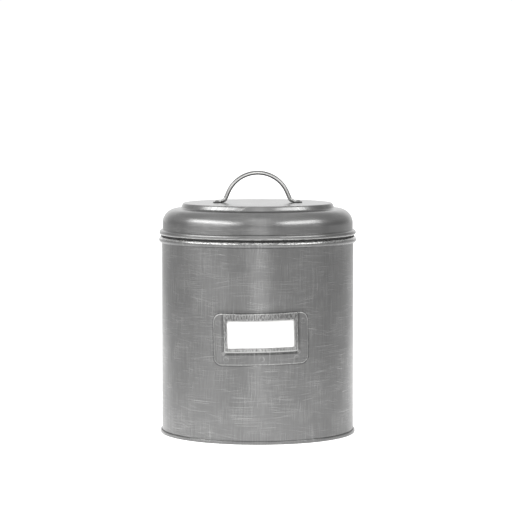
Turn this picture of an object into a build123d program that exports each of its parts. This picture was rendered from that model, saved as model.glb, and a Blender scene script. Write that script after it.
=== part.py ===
from build123d import *
from math import asin, atan2, cos, degrees, radians, sin, sqrt, tan
import os

os.makedirs("parts", exist_ok=True)

# A round sheet-metal storage bin with a lift-off lid, in millimetres. The origin is on the
# floor under the middle of the bin, +Z is up, and the label frame faces -Y.

# Sheet and clearances
sheet = 0.5  # painted sheet steel, all round
fold_gap = 0.05  # left between folded or nested layers that touch
seat_gap = 0.1  # left under the seal where the lid rests on the bin

# Bin
bin_diameter = 190.0  # outside of the body wall
bin_height = 195.0  # floor to the top of the rim bead
rim_bead_radius = 3.1  # half-round bead, to its outside
rim_corner = 0.8  # bend where the wall turns into the bead
rim_bead_end = -78.0  # angle at which the bead's curl stops, in degrees

# Double seam that joins the base plate to the foot of the wall
seam_height = 3.3
seam_corner = 0.6
hook_overlap = 0.85
hook_clearance = 0.45
panel_height = 4.0  # floor to the middle of the base sheet, beside the seam
panel_rise = 0.8  # the middle of the base is pressed up by this much
panel_rise_inset = 24.0  # wall to the foot of the pressed step
panel_rise_run = 3.0
panel_bend = 1.0

# Side seam at the back of the body
side_seam_width = 4.5
side_seam_proud = 0.6
side_seam_margin = 0.2

# Lid shell
lid_rise = 33.0  # rim of the bin to the flat top of the lid
lid_step_height = 4.85  # flat top down to the shoulder, at the foot of the step
lid_step_angle = 67.5
lid_step_inset = 21.0  # wall to the edge of the flat top, before rounding
lid_step_crest = 1.55
lid_step_foot = 2.25
shoulder_fall = 8.0  # degrees that the shoulder falls outwards
shoulder_radius = 13.75
lid_wall_inset = 0.7  # the lid's wall stands this far inside the bin's
lid_bead_radius = 2.7  # rolled bead, to its outside
lid_bead_offset = 0.6
lid_crease = 0.5

# Seal and inner ring
seal_thickness = 1.15  # the flange that is pinched between the beads
seal_overhang = 0.7  # flange past the outside of the bin's wall
sleeve_thickness = 0.4
sleeve_drop = 7.0  # sleeve below the rim of the bin
ring_drop = 12.0  # inner ring below the rim of the bin
ring_taper_height = 2.0
ring_taper_inset = 1.0
ring_bend = 3.0
ring_top_margin = 1.4  # below the start of the shoulder's curve

# Label frame and card
label_sheet = 0.6
frame_width = 90.7
frame_height = 49.6
frame_corner = 8.0
frame_low = 77.0  # floor to the frame's lower edge
frame_tilt = 1.3  # degrees, right-hand end higher
flange_side = 9.45
flange_below = 12.1
raised_corner = 2.5
raised_edge = 0.8
pocket_depth = 1.3
window_side = 3.6
window_below = 4.4
window_above = 6.5
window_corner = 1.0
weld_sphere = 15.0
weld_depth = 0.2
weld_spread = 34.0
weld_side_height = 41.0
card_thickness = 0.4
card_back_gap = 0.35
card_side_gap = 1.1  # the card is drawn straight up past the tilted sides
card_floor_gap = 0.3
card_top_margin = 2.0  # below the frame's open top

# Handle and rivets
handle_wire = 3.9
handle_bow_radius = 31.8
handle_rise = 31.6  # flat top of the lid to the top of the wire
handle_flare = 23.0  # degrees that each leg leans outwards
handle_bend = 3.5
handle_stub = 0.2  # straight wire past the bend, before it is flattened
foot_width = 8.0
foot_thickness = 1.6
foot_swage = 2.1  # length over which the round wire is flattened
rivet_shank = 3.1
rivet_hole_gap = 0.05
rivet_head_radius = 2.6
rivet_head_margin = 0.2  # flat of the foot between the head and the swage
rivet_head_height = 1.3
rivet_tail_radius = 2.5
rivet_tail_height = 1.2

# Radii and heights that follow from the values above, all to the middle of the sheet
body_radius = bin_diameter / 2
half_sheet = sheet / 2
layer = sheet + fold_gap
wall_radius = body_radius - half_sheet
chuck_radius = wall_radius - layer
cover_hook_radius = wall_radius + layer
body_hook_radius = cover_hook_radius + layer
seam_radius = body_hook_radius + layer
label_plane = Plane(
    origin=(0, 0, frame_low + frame_height / 2),
    x_dir=(cos(radians(frame_tilt)), 0, sin(radians(frame_tilt))),
    z_dir=(0, -1, 0),
)


# Body wall: body hook at the foot, straight wall, half-round bead rolled outwards at the rim
body_turn_height = sheet + fold_gap + half_sheet + layer
bead_path_radius = rim_bead_radius - half_sheet
corner_height = bin_height - half_sheet - rim_corner
corner_above_bead = sqrt(bead_path_radius**2 - 2 * bead_path_radius * rim_corner)
corner_angle = degrees(atan2(corner_above_bead, rim_corner))
bead_height = corner_height - corner_above_bead
with BuildPart() as body_wall:
    with BuildSketch(Plane.XZ):
        with BuildLine():
            body_hook_top = body_turn_height + hook_overlap + fold_gap
            Line((body_hook_radius, body_hook_top), (body_hook_radius, body_turn_height))
            CenterArc((cover_hook_radius, body_turn_height), layer, 180, 180)
            Line((wall_radius, body_turn_height), (wall_radius, corner_height))
            CenterArc((wall_radius + rim_corner, corner_height), rim_corner, 180, corner_angle - 180)
            bead_sweep = rim_bead_end - corner_angle
            CenterArc((wall_radius, bead_height), bead_path_radius, corner_angle, bead_sweep)
        trace(line_width=sheet)
    revolve(axis=Axis.Z)
    # The side seam is a flat fold up the back, from the double seam to the bead.
    side_seam_low = seam_height + side_seam_margin
    side_seam_high = bead_height - rim_bead_radius - side_seam_margin
    with BuildSketch(Plane.XY.offset(side_seam_low)):
        Circle(body_radius + side_seam_proud)
        with Locations((0, body_radius)):
            Rectangle(side_seam_width, 4 * side_seam_width, mode=Mode.INTERSECT)
        Circle(wall_radius, mode=Mode.SUBTRACT)
    extrude(amount=side_seam_high - side_seam_low)
body_wall.part.label = "body_wall"
export_step(body_wall.part, "parts/body_wall.step")


# Base plate: pressed panel, chuck wall, then the seam folded up and over the body hook
seam_turn_height = seam_height - half_sheet - layer
panel_step = wall_radius - panel_rise_inset
with BuildPart() as base_plate:
    with BuildSketch(Plane.XZ):
        with BuildLine():
            FilletPolyline(
                (0, panel_height + panel_rise),
                (panel_step - panel_rise_run, panel_height + panel_rise),
                (panel_step, panel_height),
                (chuck_radius, panel_height),
                (chuck_radius, half_sheet),
                (seam_radius, half_sheet),
                (seam_radius, seam_turn_height),
                radius=[panel_bend, panel_bend, panel_bend, seam_corner, seam_corner],
            )
            CenterArc((body_hook_radius, seam_turn_height), layer, 0, 180)
            cover_hook_low = body_turn_height - layer + half_sheet + hook_clearance
            Line((cover_hook_radius, seam_turn_height), (cover_hook_radius, cover_hook_low))
        trace(line_width=sheet)
    revolve(axis=Axis.Z)
base_plate.part.label = "base_plate"
export_step(base_plate.part, "parts/base_plate.step")


# Handle line: how far out the legs, the flattened feet and their rivets stand
lid_top = bin_height + lid_rise
wire_radius = handle_wire / 2
flare = radians(handle_flare)
bow_centre = lid_top + handle_rise - wire_radius - handle_bow_radius
bow_end_out = handle_bow_radius * cos(flare)
bow_end_up = bow_centre + handle_bow_radius * sin(flare)
stub_height = lid_top + wire_radius
heel = bow_end_out + (bow_end_up - stub_height) * tan(flare)
stub_end = heel + handle_bend * tan(radians(90 - handle_flare) / 2) + handle_stub
foot_start = stub_end + foot_swage
rivet_reach = foot_start + rivet_head_margin + rivet_head_radius


# Lid shell: flat top, step, falling shoulder, rounded edge, wall, crease, bead and inward hem
top_middle = lid_top - half_sheet
lid_wall_radius = wall_radius - lid_wall_inset
crest_radius = wall_radius - lid_step_inset
foot_height = top_middle - lid_step_height
foot_radius = crest_radius + lid_step_height / tan(radians(lid_step_angle))
shoulder_corner = foot_height - (lid_wall_radius - foot_radius) * tan(radians(shoulder_fall))
seal_top = bin_height + seat_gap + seal_thickness
lid_bead_path = lid_bead_radius - half_sheet
lid_bead_height = seal_top + fold_gap + lid_bead_radius
lid_bead_centre = lid_wall_radius + lid_bead_offset
crease_height = lid_bead_height + lid_bead_path
hem_height = lid_bead_height - lid_bead_path
ring_outer = lid_wall_radius - half_sheet - fold_gap
hem_end = ring_outer + half_sheet
with BuildPart() as lid_shell:
    with BuildSketch(Plane.XZ):
        with BuildLine():
            FilletPolyline(
                (0, top_middle),
                (crest_radius, top_middle),
                (foot_radius, foot_height),
                (lid_wall_radius, shoulder_corner),
                (lid_wall_radius, crease_height),
                (lid_bead_centre, crease_height),
                radius=[lid_step_crest, lid_step_foot, shoulder_radius, lid_crease],
            )
            CenterArc((lid_bead_centre, lid_bead_height), lid_bead_path, 90, -180)
            Line((lid_bead_centre, hem_height), (hem_end, hem_height))
        trace(line_width=sheet)
    revolve(axis=Axis.Z)
    with Locations((-rivet_reach, 0, lid_top), (rivet_reach, 0, lid_top)):
        Hole(rivet_shank / 2 + rivet_hole_gap, depth=2 * sheet)
lid_shell.part.label = "lid_shell"
export_step(lid_shell.part, "parts/lid_shell.step")


# Inner ring: a plain band, nested in the lid's wall, that drops into the mouth of the bin
ring_radius = ring_outer - half_sheet
ring_low = bin_height - ring_drop
shoulder_start = shoulder_corner - shoulder_radius * tan(radians(90 - shoulder_fall) / 2)
ring_high = shoulder_start - ring_top_margin
with BuildPart() as lid_inner_ring:
    with BuildSketch(Plane.XZ):
        with BuildLine():
            FilletPolyline(
                (ring_radius - ring_taper_inset, ring_low),
                (ring_radius, ring_low + ring_taper_height),
                (ring_radius, ring_high),
                radius=ring_bend,
            )
        trace(line_width=sheet)
    revolve(axis=Axis.Z)
lid_inner_ring.part.label = "lid_inner_ring"
export_step(lid_inner_ring.part, "parts/lid_inner_ring.step")


# Seal: a sleeve around the inner ring with a flange that lies under the lid's bead
sleeve_inner = ring_outer + fold_gap
seal_bottom = bin_height + seat_gap
with BuildPart() as lid_seal:
    with BuildSketch(Plane.XZ):
        with Locations((sleeve_inner, bin_height - sleeve_drop)):
            Rectangle(sleeve_thickness, sleeve_drop + seat_gap, align=Align.MIN)
        with Locations((sleeve_inner, seal_bottom)):
            Rectangle(body_radius + seal_overhang - sleeve_inner, seal_thickness, align=Align.MIN)
    revolve(axis=Axis.Z)
lid_seal.part.label = "lid_seal"
export_step(lid_seal.part, "parts/lid_seal.step")


def wrapped_plate(inner_radius, outer_radius, outline):
    """A plate that follows the wall: between two radii, cut to an outline seen from the front."""
    with BuildPart() as plate:
        with BuildSketch(Plane.XY):
            Circle(outer_radius)
            Circle(inner_radius, mode=Mode.SUBTRACT)
        extrude(amount=bin_height)
        extrude(outline, amount=outer_radius + label_sheet, mode=Mode.INTERSECT)
    return plate.part


# Label frame: a flange on the wall with a raised middle, open at its top, and a window
frame_bottom = -frame_height / 2
raised_low = frame_bottom + flange_below
raised_width = frame_width - 2 * flange_side
raised_height = frame_height - flange_below
window_height = raised_height - window_below - window_above
flange_back = body_radius + fold_gap
flange_front = flange_back + label_sheet
raised_back = body_radius + pocket_depth
raised_front = raised_back + label_sheet
with BuildSketch(label_plane) as frame_outline:
    RectangleRounded(frame_width, frame_height, frame_corner)
with BuildSketch(label_plane) as raised_outline:
    with Locations((0, raised_low)):
        Rectangle(raised_width, raised_height, align=(Align.CENTER, Align.MIN))
    fillet(raised_outline.vertices().group_by(Axis.Y)[0], raised_corner)
with BuildSketch(label_plane) as pocket_outline:
    with Locations((0, raised_low + label_sheet)):
        pocket_width = raised_width - 2 * label_sheet
        Rectangle(pocket_width, raised_height, align=(Align.CENTER, Align.MIN))
    fillet(pocket_outline.vertices().group_by(Axis.Y)[0], raised_corner - label_sheet)
flange_plate = wrapped_plate(flange_back, flange_front, frame_outline.sketch)
raised_plate = wrapped_plate(flange_back, raised_front, raised_outline.sketch)
pocket_space = wrapped_plate(body_radius, raised_back, pocket_outline.sketch)
with BuildPart() as label_frame:
    add(flange_plate)
    add(raised_plate)
    front_face = label_frame.faces().sort_by(Axis.Y)[0]
    fillet(front_face.edges().sort_by(Axis.Z)[:-1], raised_edge)
    add(pocket_space, mode=Mode.SUBTRACT)
    with BuildSketch(label_plane):
        with Locations((0, raised_low + window_below)):
            RectangleRounded(
                raised_width - 2 * window_side,
                window_height,
                window_corner,
                align=(Align.CENTER, Align.MIN),
            )
    extrude(amount=raised_front + label_sheet, mode=Mode.SUBTRACT)
    # Spot welds leave shallow round dents: three below the raised middle, two beside it.
    weld_low = frame_bottom + flange_below / 2
    weld_side = (frame_width - flange_side) / 2
    weld_high = frame_bottom + weld_side_height
    weld_points = [(-weld_spread, weld_low), (0, weld_low), (weld_spread, weld_low)]
    weld_points += [(-weld_side, weld_high), (weld_side, weld_high)]
    for across, up in weld_points:
        spot = label_plane.from_local_coords(Vector(across, up, 0))
        spot_angle = asin(spot.X / flange_front)
        dent_radius = flange_front + weld_sphere - weld_depth
        with Locations((dent_radius * sin(spot_angle), -dent_radius * cos(spot_angle), spot.Z)):
            Sphere(weld_sphere, mode=Mode.SUBTRACT)
label_frame.part.label = "label_frame"
export_step(label_frame.part, "parts/label_frame.step")


# Card: loose in the frame's pocket, clear of the wall behind and of the window's edges in front
card_back = body_radius + card_back_gap
card_low = raised_low + label_sheet + card_floor_gap
with BuildSketch(label_plane) as card_outline:
    with Locations((0, card_low)):
        card_width = pocket_width - 2 * card_side_gap
        card_height = frame_height / 2 - card_top_margin - card_low
        Rectangle(card_width, card_height, align=(Align.CENTER, Align.MIN))
    fillet(card_outline.vertices().group_by(Axis.Y)[0], raised_corner - label_sheet)
card_plate = wrapped_plate(card_back, card_back + card_thickness, card_outline.sketch)
with BuildPart() as label_card:
    add(card_plate)
label_card.part.label = "label_card"
export_step(label_card.part, "parts/label_card.step")


# Handle: a round wire bow on two leaning legs, bent outwards and flattened into pierced feet
with BuildPart() as handle:
    with BuildLine(Plane.XZ) as wire_path:
        FilletPolyline(
            (-stub_end, stub_height),
            (-heel, stub_height),
            (0, stub_height + heel / tan(flare)),
            (heel, stub_height),
            (stub_end, stub_height),
            radius=[handle_bend, handle_bow_radius, handle_bend],
        )
    with BuildSketch(Plane.YZ.offset(-stub_end)):
        with Locations((0, stub_height)):
            Circle(wire_radius)
    sweep(path=wire_path.wire())
    for side in (-1, 1):
        with BuildSketch(Plane.YZ.offset(side * stub_end)):
            with Locations((0, stub_height)):
                Circle(wire_radius)
        with BuildSketch(Plane.YZ.offset(side * foot_start)):
            with Locations((0, lid_top)):
                Rectangle(foot_width, foot_thickness, align=(Align.CENTER, Align.MIN))
        loft()
        with BuildSketch(Plane.XY.offset(lid_top)):
            with Locations((side * (foot_start + rivet_reach) / 2, 0)):
                Rectangle(rivet_reach - foot_start, foot_width)
            with Locations((side * rivet_reach, 0)):
                Circle(foot_width / 2)
                Circle(rivet_shank / 2 + rivet_hole_gap, mode=Mode.SUBTRACT)
        extrude(amount=foot_thickness)
handle.part.label = "handle"
export_step(handle.part, "parts/handle.step")


# Handle rivets: a domed head on the foot, a shank through foot and lid, a set tail inside
for name, side in (("handle_rivet_left", -1), ("handle_rivet_right", 1)):
    rivet_origin = (side * rivet_reach, 0, lid_top)
    rivet_plane = Plane(origin=rivet_origin, x_dir=(1, 0, 0), z_dir=(0, -1, 0))
    with BuildPart() as rivet:
        with BuildSketch(rivet_plane):
            with BuildLine():
                head_top = foot_thickness + rivet_head_height
                tail_end = -sheet - rivet_tail_height
                TangentArc((0, head_top), (rivet_head_radius, foot_thickness), tangent=(1, 0))
                Polyline(
                    (rivet_head_radius, foot_thickness),
                    (rivet_shank / 2, foot_thickness),
                    (rivet_shank / 2, -sheet),
                    (rivet_tail_radius, -sheet),
                    (rivet_tail_radius, tail_end),
                    (0, tail_end),
                    (0, head_top),
                )
            make_face()
        revolve(axis=Axis(rivet_origin, (0, 0, 1)))
        fillet(rivet.edges().group_by(Axis.Z)[0], rivet_tail_height / 2)
    rivet.part.label = name
    export_step(rivet.part, f"parts/{name}.step")
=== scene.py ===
"""Builds the looks of a sheet-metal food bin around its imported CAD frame."""
import math
from types import SimpleNamespace

import bmesh
import bpy
from bpy.props import FloatProperty, FloatVectorProperty, IntProperty, PointerProperty
from bpy.types import Operator, Panel, PropertyGroup
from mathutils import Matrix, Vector


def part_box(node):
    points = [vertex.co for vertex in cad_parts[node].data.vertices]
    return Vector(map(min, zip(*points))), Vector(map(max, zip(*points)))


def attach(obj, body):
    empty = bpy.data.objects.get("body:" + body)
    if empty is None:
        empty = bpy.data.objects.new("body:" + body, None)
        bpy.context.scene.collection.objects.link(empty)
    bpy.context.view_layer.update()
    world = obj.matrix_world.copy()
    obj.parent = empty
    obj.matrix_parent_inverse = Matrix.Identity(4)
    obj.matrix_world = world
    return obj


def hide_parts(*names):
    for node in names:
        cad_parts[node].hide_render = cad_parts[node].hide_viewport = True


bl_info = {
    "name": "Sheet-metal food bin",
    "version": (1, 0, 0),
    "blender": (4, 5, 0),
    "location": "View3D > Sidebar > Food bin",
    "description": "A round bin with a lift-off lid, a label frame and a wire handle",
    "category": "Add Mesh",
}

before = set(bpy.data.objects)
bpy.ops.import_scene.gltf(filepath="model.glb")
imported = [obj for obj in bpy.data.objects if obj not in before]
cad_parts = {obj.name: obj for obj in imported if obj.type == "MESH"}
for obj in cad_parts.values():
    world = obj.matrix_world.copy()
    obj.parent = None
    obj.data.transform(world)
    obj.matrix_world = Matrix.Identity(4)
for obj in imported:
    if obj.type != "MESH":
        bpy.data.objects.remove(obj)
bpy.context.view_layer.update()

MM = 0.001
TURN = 2 * math.pi
BEND_STEP = 0.6 * MM  # along a wide bend, between two points of a section
HOLD = 0.4 * MM  # from the end of a long straight run to the loop that keeps its shading flat
SAME_PLACE = 0.01 * MM
SMOOTH_ANGLE = math.radians(40)
RIM_BEAD = 3.1  # radius of the body's rolled rim in millimetres, to its outside
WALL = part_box("body_wall")[1].x - RIM_BEAD * MM  # radius on which the brush marks are laid out

# Details that follow from how such a bin is made
SEAM_MARGIN = 0.2 * MM  # side seam to the double seam below it and the bead above it
SEAM_EDGE = 0.25 * MM  # rounding along the side seam
HOOK_HEIGHT = 0.9 * MM
BEAD_END = -78  # degrees
PANEL_RUN = 3.0 * MM
PANEL_BEND = 1.0 * MM
HOLE_SHARE = 1.03  # rivet hole to rivet shank
HOLE_DEPTH = 4.0 * MM  # more than the lid's sheet
HOLE_FACETS = 32
TAPER_BEND = 3.0 * MM  # where the inner ring's lower edge turns in
SEAL_EDGE = 0.1 * MM
RAISED_CORNER = 2.5 * MM
WINDOW_CORNER = 1.0 * MM
SLOPE_FOOT = 0.3 * MM  # the foot of the label's slope outside the edge of its raised middle
BLOCK_DEPTH = 20 * MM  # of the blocks that cut the flat label frame and card to their outlines
SLOPE_LOOPS = 6
FRAME_CELL = 0.8 * MM  # of the grid that the frame is pressed from
CARD_CELL = 2.0 * MM
FRAME_EDGE = 0.14 * MM  # bevel along the label frame's cut edges
WELD_SPREAD = 34.5 * MM
WELD_HEIGHT = 41.0 * MM
WELD_WIDTH = 7.0 * MM
WELD_MIDDLE = 0.7 * MM  # radius of the part of a weld that is pressed in all the way
WELD_DEPTH = 0.2 * MM
CARD_GAP = 0.3 * MM
CARD_TOP = 2.0 * MM  # the card below the frame's open top
CARD_SIDE = 1.1 * MM
CARD_BACK = 0.35 * MM
TAIL = 0.96  # rivet tail to rivet head
TAIL_CORNER = 0.6 * MM
TAIL_EDGE = 0.1 * MM
SHANK_BEND = 0.05 * MM  # from the shank into the head and the tail
RIVET_FACETS = 40
FOOT_MARGIN = 0.2 * MM  # rivet head to the end of the foot's flat part
WIRE_FACETS = 24
BOW_STEPS = 28  # from the middle of the bow to the top of a leg
BEND_STEPS = 10
FLATTEN_STEPS = 6  # from round wire to flat foot
ROUND_END = (0, 15, 30, 45, 60, 72, 82)  # degrees about the rivet, of the points along the foot's end


def reach(node):
    """How far a CAD node stands from the bin's upright axis, in metres."""
    return max(math.hypot(v.co.x, v.co.y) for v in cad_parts[node].data.vertices)


def length(title, text, millimetres):
    """A size that a user would change, shown in the scene's length unit."""
    size = millimetres * MM
    return FloatProperty(name=title, description=text, default=size, unit="LENGTH", precision=5)


def turn(title, text, degrees):
    """An angle that a user would change."""
    return FloatProperty(name=title, description=text, default=math.radians(degrees), subtype="ANGLE")


def colour(title, text, value):
    """A paint or metal colour that a user would change."""
    return FloatVectorProperty(name=title, description=text, default=value, subtype="COLOR", min=0, max=1)


# ---------------------------------------------------------------- sizes and colours


class BinSizes(PropertyGroup):
    """Sizes of the body, its base and the side seam."""

    sheet: length("Sheet", "Thickness of the sheet steel", 0.5)
    fold_gap: length("Fold gap", "Gap between layers that touch", 0.05)
    bead: length("Rim bead", "Radius of the rolled rim, to its outside", RIM_BEAD)
    bead_corner: length("Bead corner", "Bend where the wall meets the rim bead", 0.8)
    seam: length("Double seam", "Height of the folded seam at the foot", 3.3)
    seam_corner: length("Seam corner", "Bends at the foot of the seam", 0.6)
    panel: length("Base height", "Floor to the middle of the base sheet", 4.0)
    panel_rise: length("Base rise", "Step pressed into the middle of the base", 0.8)
    panel_inset: length("Base step inset", "Wall to the foot of the pressed step", 24.0)
    side_seam: length("Side seam", "How far the fold up the back stands out", 0.6)
    rings: IntProperty(name="Facets", description="Facets around each turned piece", default=256, min=64)


class LidSizes(PropertyGroup):
    """Sizes of the lid's shell, ring and seal."""

    crest_inset: length("Flat inset", "Wall of the bin to the edge of the flat top", 21.0)
    step: length("Step", "Flat top down to the shoulder", 4.85)
    step_angle: turn("Step angle", "Slope of the step", 67.5)
    crest_bend: length("Crest bend", "Rounding at the top of the step", 1.55)
    foot_bend: length("Foot bend", "Rounding at the foot of the step", 2.25)
    fall: turn("Shoulder fall", "Slope of the shoulder before it rounds over", 8.0)
    shoulder: length("Shoulder", "Radius of the rounded shoulder", 13.75)
    bead: length("Lid bead", "Radius of the lid's rolled rim, to its outside", 2.7)
    bead_offset: length("Bead offset", "Lid wall to the middle of the bead", 0.6)
    crease: length("Crease", "Bend between the lid's wall and its bead", 0.5)
    ring_drop: length("Ring drop", "Rim of the bin to the foot of the inner ring", 12.0)
    ring_taper: length("Ring taper", "How far the ring's lower edge turns in", 1.0)
    ring_taper_height: length("Taper height", "Height of the turned-in edge", 2.0)
    seal_flange: length("Seal", "Thickness of the seal between the beads", 1.15)
    sleeve: length("Sleeve", "Thickness of the seal's sleeve", 0.4)


class LabelSizes(PropertyGroup):
    """Sizes of the label frame and its card."""

    sheet: length("Frame sheet", "Thickness of the label frame", 0.6)
    width: length("Width", "Width of the frame, measured along the wall", 94.4)
    height: length("Height", "Height of the frame", 49.6)
    middle: length("Middle", "Floor to the middle of the frame", 101.8)
    corner: length("Corner", "Rounding of the frame's corners", 8.0)
    tilt: turn("Tilt", "How far the frame leans, right-hand end up", 1.3)
    flange_side: length("Side flange", "Edge of the frame to the raised middle", 10.3)
    flange_below: length("Lower flange", "Lower edge of the frame to the raised middle", 11.3)
    rise: length("Rise", "How far the middle stands out from the flange", 1.25)
    slope: length("Slope", "Width of the pressed slope round the middle", 1.7)
    window_side: length("Window side", "Raised edge to the side of the window", 4.2)
    window_below: length("Window below", "Raised edge to the foot of the window", 5.2)
    window_above: length("Window above", "Top of the window to the frame's open top", 6.9)
    card: length("Card", "Thickness of the card", 0.4)


class HandleSizes(PropertyGroup):
    """Sizes of the wire handle and its rivets."""

    wire: length("Wire", "Diameter of the handle's wire", 3.9)
    bow: length("Bow", "Radius of the bow, to the middle of the wire", 31.8)
    flare: turn("Flare", "How far each leg leans outwards", 23.0)
    bend: length("Bend", "Radius of the bend into each foot", 3.5)
    foot_width: length("Foot width", "Width of each flattened foot", 8.0)
    foot: length("Foot", "Thickness of each flattened foot", 1.6)
    shank: length("Rivet shank", "Diameter of the rivets' shanks", 3.1)
    head: length("Rivet head", "Diameter of the rivets' heads", 5.2)


class Colours(PropertyGroup):
    """Colours of the finishes."""

    pewter: colour("Pewter", "Brushed grey paint", (0.175, 0.175, 0.174))
    rubbed: colour("Rubbed", "Paint where the brush has lightened it", (0.34, 0.34, 0.336))
    steel: colour("Steel", "Bare sheet and wire", (0.60, 0.60, 0.59))
    rubber: colour("Rubber", "Black seal", (0.012, 0.012, 0.012))
    card: colour("Card", "White card", (0.93, 0.93, 0.92))


# ---------------------------------------------------------------- modelling helpers


def arc(middle, radius, start, end, steps):
    """Points on an arc in the section plane, from one angle in degrees to another."""
    points = []
    for i in range(steps + 1):
        angle = math.radians(start + (end - start) * i / steps)
        points.append((middle[0] + radius * math.cos(angle), middle[1] + radius * math.sin(angle)))
    return points


def bent_line(corners):
    """Points along a line whose corners, each (across, up, bend radius), are rounded."""
    points = [corners[0][:2]]
    for before, corner, after in zip(corners, corners[1:], corners[2:]):
        here = Vector(corner[:2])
        back = (Vector(before[:2]) - here).normalized()
        on = (Vector(after[:2]) - here).normalized()
        half = back.angle(on) / 2
        middle = here + (back + on).normalized() * corner[2] / math.sin(half)
        start = here + back * corner[2] / math.tan(half)
        sweep = math.pi - 2 * half
        if back.cross(on) < 0:
            sweep = -sweep
        first = start - middle
        steps = max(8, round(abs(sweep) * corner[2] / BEND_STEP))
        for i in range(steps + 1):
            angle = -sweep * i / steps
            spoke = Vector((
                first.x * math.cos(angle) - first.y * math.sin(angle),
                first.x * math.sin(angle) + first.y * math.cos(angle),
            ))
            points.append(tuple(middle + spoke))
    points.append(corners[-1][:2])
    return points


def mode(name):
    """Goes into edit mode, or back to object mode."""
    bpy.ops.object.mode_set(mode=name)


def deselect():
    """Leaves no object selected."""
    bpy.ops.object.select_all(action="DESELECT")


def select_mesh():
    """In edit mode, selects the whole mesh."""
    bpy.ops.mesh.select_all(action="SELECT")


def select(piece):
    """Makes a piece the active one and the only one selected."""
    deselect()
    bpy.context.view_layer.objects.active = piece
    piece.select_set(True)


def settle():
    """Applies the selected piece's place, turn and scale to its mesh."""
    bpy.ops.object.transform_apply(location=True, rotation=True, scale=True)


def pick(kind, test):
    """In edit mode, selects only the vertices, edges or faces whose middle and normal pass a test."""
    bpy.ops.mesh.select_mode(type=kind)
    bpy.ops.mesh.select_all(action="DESELECT")
    shape = bmesh.from_edit_mesh(bpy.context.object.data)
    for part in {"VERT": shape.verts, "EDGE": shape.edges, "FACE": shape.faces}[kind]:
        if kind == "VERT":
            place, normal = part.co, part.normal
        elif kind == "EDGE":
            place = (part.verts[0].co + part.verts[1].co) / 2
            normal = part.verts[1].co - part.verts[0].co
        else:
            place, normal = part.calc_center_median(), part.normal
        if test(place, normal):
            part.select_set(True)
    bmesh.update_edit_mesh(bpy.context.object.data)


def begin(name, points):
    """Starts a piece as one vertex at the first point and extrudes it from point to point."""
    deselect()
    bpy.ops.mesh.primitive_plane_add(size=MM)
    piece = bpy.context.object
    piece.name = piece.data.name = name
    mode("EDIT")
    bpy.ops.mesh.select_mode(type="VERT")
    select_mesh()
    bpy.ops.mesh.merge(type="CENTER")
    here = Vector(points[0])
    bpy.ops.transform.translate(value=here)
    for point in points[1:]:
        step = Vector(point) - here
        bpy.ops.mesh.extrude_vertices_move(TRANSFORM_OT_translate={"value": step})
        here = Vector(point)
    return piece


def finish_piece(piece, body, paint, slot, *nodes):
    """Smooths a piece, gives it its finish and its CAD body, and lets it stand for its CAD nodes."""
    select(piece)
    bpy.ops.object.shade_smooth_by_angle(angle=SMOOTH_ANGLE)
    piece.data.materials.clear()
    piece.data.materials.append(finish_of(paint))
    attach(piece, body)
    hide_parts(*nodes)


def modify(piece, kind, **settings):
    """Adds a modifier and applies it."""
    modifier = piece.modifiers.new(kind.title(), kind)
    for key, value in settings.items():
        setattr(modifier, key, value)
    bpy.ops.object.modifier_apply(modifier=modifier.name)


def held(section):
    """The section with a point near each end of every long straight run."""
    points = [section[0]]
    for start, end in zip(section, section[1:]):
        run = Vector(end) - Vector(start)
        if run.length > 4 * HOLD:
            nudge = run.normalized() * HOLD
            points += [tuple(Vector(start) + nudge), tuple(Vector(end) - nudge)]
        points.append(end)
    return points


def turned(name, section, thickness=None, facets=None, middle=0.0):
    """A piece turned from a section of (radius, height) points, with sheet added around it if asked."""
    facets = facets or bpy.context.scene.bin_sizes.rings
    piece = begin(name, [(middle + radius, 0, height) for radius, height in held(section)])
    select_mesh()
    bpy.ops.mesh.spin(steps=facets, angle=TURN, center=(middle, 0, 0), axis=(0, 0, 1))
    select_mesh()
    bpy.ops.mesh.remove_doubles(threshold=SAME_PLACE)
    bpy.ops.mesh.normals_make_consistent(inside=False)
    mode("OBJECT")
    if thickness:
        modify(piece, "SOLIDIFY", thickness=thickness, offset=0, use_even_offset=True)
    return piece


def cut(piece, tool, operation):
    """Cuts a piece with a tool, which is then removed."""
    select(piece)
    modify(piece, "BOOLEAN", operation=operation, solver="EXACT", object=tool)
    bpy.data.objects.remove(tool)


def drill(piece, middle, diameter, depth):
    """Drills a hole straight down through the piece, with this middle."""
    deselect()
    bpy.ops.mesh.primitive_cylinder_add(
        vertices=HOLE_FACETS, radius=diameter / 2, depth=depth, location=middle,
    )
    cut(piece, bpy.context.object, "DIFFERENCE")


# ---------------------------------------------------------------- shader helpers


class Value:
    """A socket of a node tree, on which Python's arithmetic adds Math nodes."""

    def __init__(self, tree, socket):
        self.tree = tree
        self.socket = socket

    def math(self, operation, *others):
        inputs = dict(enumerate((self, *others)))
        return self.tree.node("ShaderNodeMath", {"operation": operation}, inputs)

    def __add__(self, other):
        return self.math("ADD", other)

    def __sub__(self, other):
        return self.math("SUBTRACT", other)

    def __mul__(self, other):
        return self.math("MULTIPLY", other)

    def __truediv__(self, other):
        return self.math("DIVIDE", other)

    def __neg__(self):
        return self.math("MULTIPLY", -1.0)

    def __abs__(self):
        return self.math("ABSOLUTE")

    def __rsub__(self, other):
        return -self + other

    __radd__ = __add__
    __rmul__ = __mul__

    def step(self, low, high):
        """0 below low and 1 above high, or the other way round if low is the larger."""
        if low > high:
            return 1 - self.step(high, low)
        settings = {"interpolation_type": "SMOOTHSTEP"}
        return self.tree.node("ShaderNodeMapRange", settings, {0: self, 1: low, 2: high})


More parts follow.
